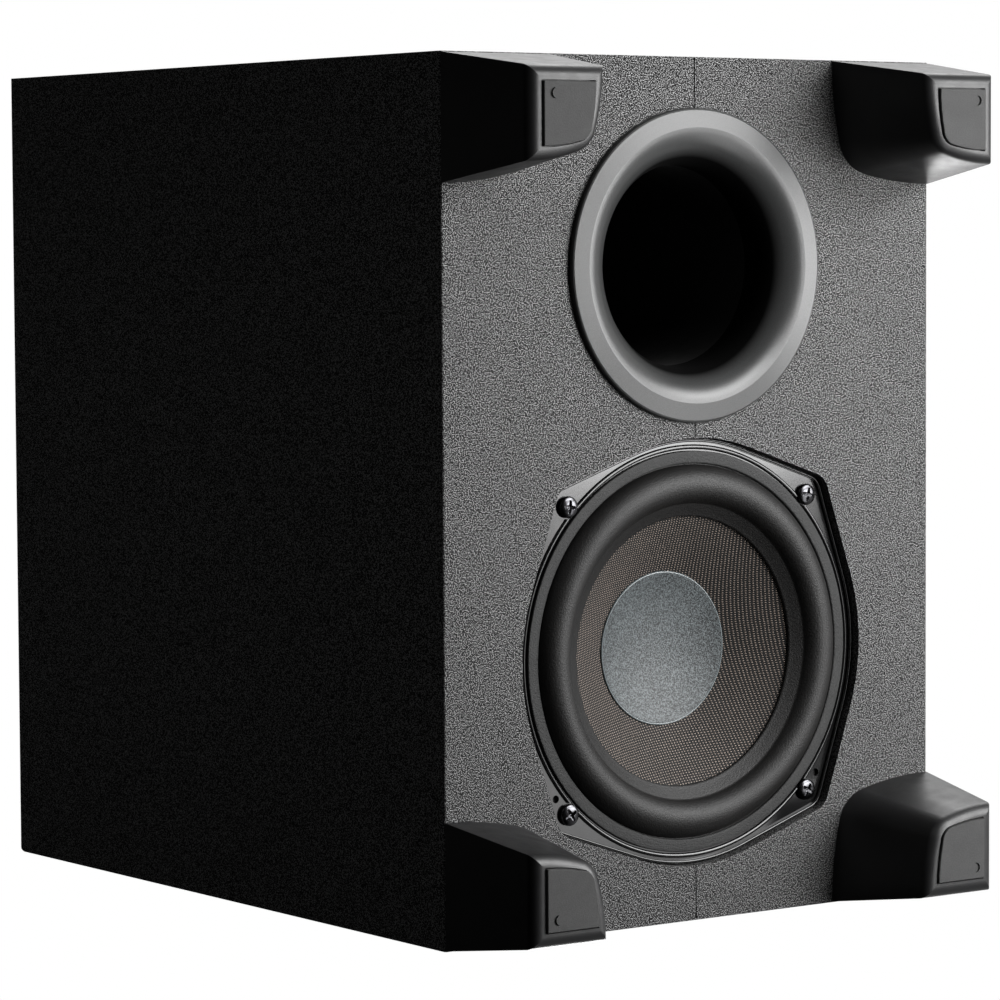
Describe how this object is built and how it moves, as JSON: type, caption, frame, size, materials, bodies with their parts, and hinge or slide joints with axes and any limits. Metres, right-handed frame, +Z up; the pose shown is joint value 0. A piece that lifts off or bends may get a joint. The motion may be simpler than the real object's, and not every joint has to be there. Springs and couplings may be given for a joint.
{
  "type": "powered subwoofer",
  "caption": "Box-shaped down-firing bass loudspeaker on tapered corner feet: recessed cone driver and flared port underneath, amplifier plate at the upper rear.",
  "frame": {"origin": "middle of the footprint, on the floor under the four rubber pads", "axes": "+Z up; -Y towards the front of the cabinet (driver end), +Y towards the rear (port end and amplifier plate); +X towards the right-hand side panel seen from the front"},
  "size_m": [0.2214, 0.31, 0.3435],
  "materials": {
    "black_vinyl_board": "pebble-grain black vinyl film laminated on fibreboard",
    "raw_board": "raw fibreboard",
    "foot_plastic": "satin black moulded plastic",
    "pad_rubber": "matte grey-black rubber",
    "port_plastic": "fine matte dark grey plastic",
    "tube_plastic": "plain black tube",
    "frame_steel": "glossy black enamel",
    "gasket_foam": "matte dense foam",
    "surround_rubber": "matte black rubber",
    "woven_fibre": "woven brown-grey fibre with a satin resin",
    "cap_fibre": "satin blue-grey",
    "coil_former": "foil",
    "copper_winding": "enamelled copper",
    "spider_cloth": "resin-dipped cloth",
    "zinc_steel": "zinc plated",
    "ferrite": "matte sintered",
    "black_screw": "black zinc",
    "fibre_strip": "phenolic paper board",
    "tinned_metal": "tinned",
    "braid": "braided copper",
    "amp_plate_paint": "fine textured black powder coat",
    "seal_foam": "closed-cell foam",
    "socket_plastic": "black moulded plastic",
    "button_plastic": "satin black",
    "switch_plastic": "black",
    "light_pipe": "frosted clear plastic",
    "led_epoxy": "diffused",
    "circuit_board": "green solder mask",
    "brass_standoff": "turned",
    "transformer_ferrite": "ferrite core with yellow tape",
    "capacitor_sleeve": "dark sleeve",
    "sink_aluminium": "extruded",
    "choke_core": "ferrite drum",
    "module_can": "shield can",
    "connector_plastic": "natural nylon",
    "lead_jacket": "black round jacket",
    "polyester_fill": "white needled felt"
  },
  "bodies": {
    "cabinet": {"amp_board": "circuit_board", "amp_plate": "amp_plate_paint", "amp_plate_screws": "black_screw", "amp_seal": "seal_foam", "board_screws": "zinc_steel", "board_standoffs": "brass_standoff", "bottom_baffle": "black_vinyl_board", "corner_blocks": "raw_board", "damping_wadding": "polyester_fill", "driver_basket": "frame_steel", "driver_plug": "connector_plastic", "driver_screws": "black_screw", "ferrite_magnet": "ferrite", "foot_pads": "pad_rubber", "foot_screws": "black_screw", "frame_seal": "seal_foam", "front_left_foot": "foot_plastic", "front_panel": "black_vinyl_board", "front_right_foot": "foot_plastic", "gasket_ring": "gasket_foam", "heat_sink": "sink_aluminium", "left_side_panel": "black_vinyl_board", "mains_capacitors": "capacitor_sleeve", "mains_inlet": "socket_plastic", "mains_inlet_pins": "tinned_metal", "output_chokes": "choke_core", "pairing_switch": "switch_plastic", "port_flange": "port_plastic", "port_inner_flare": "port_plastic", "port_tube": "tube_plastic", "power_transformer": "transformer_ferrite", "rear_left_foot": "foot_plastic", "rear_panel": "black_vinyl_board", "rear_right_foot": "foot_plastic", "right_side_panel": "black_vinyl_board", "speaker_header": "connector_plastic", "speaker_lead": "lead_jacket", "speaker_plug": "connector_plastic", "spider": "spider_cloth", "status_led": "led_epoxy", "status_light_pipe": "light_pipe", "surround": "surround_rubber", "t_yoke": "zinc_steel", "terminal_strip": "fibre_strip", "terminal_tabs": "tinned_metal", "tinsel_leads": "braid", "top_panel": "black_vinyl_board", "top_plate": "zinc_steel", "wireless_module": "module_can"},
    "cone_assembly": {"cone": "woven_fibre", "dust_cap": "cap_fibre", "voice_coil_former": "coil_former", "voice_coil_winding": "copper_winding"},
    "pairing_button": {"pairing_button": "button_plastic", "switch_plunger": "button_plastic"}
  },
  "joints": [
    {"name": "cone_travel", "type": "slide", "parent": "cabinet", "child": "cone_assembly", "axis": [0, 0, -1], "range_m": [-0.0045, 0.0045], "stiffness_N_per_m": 1500, "deforming": ["surround", "spider", "tinsel_leads"]},
    {"name": "pairing_button_press", "type": "slide", "parent": "cabinet", "child": "pairing_button", "axis": [0, -1, 0], "range_m": [0, 0.0006], "stiffness_N_per_m": 1500}
  ]
}
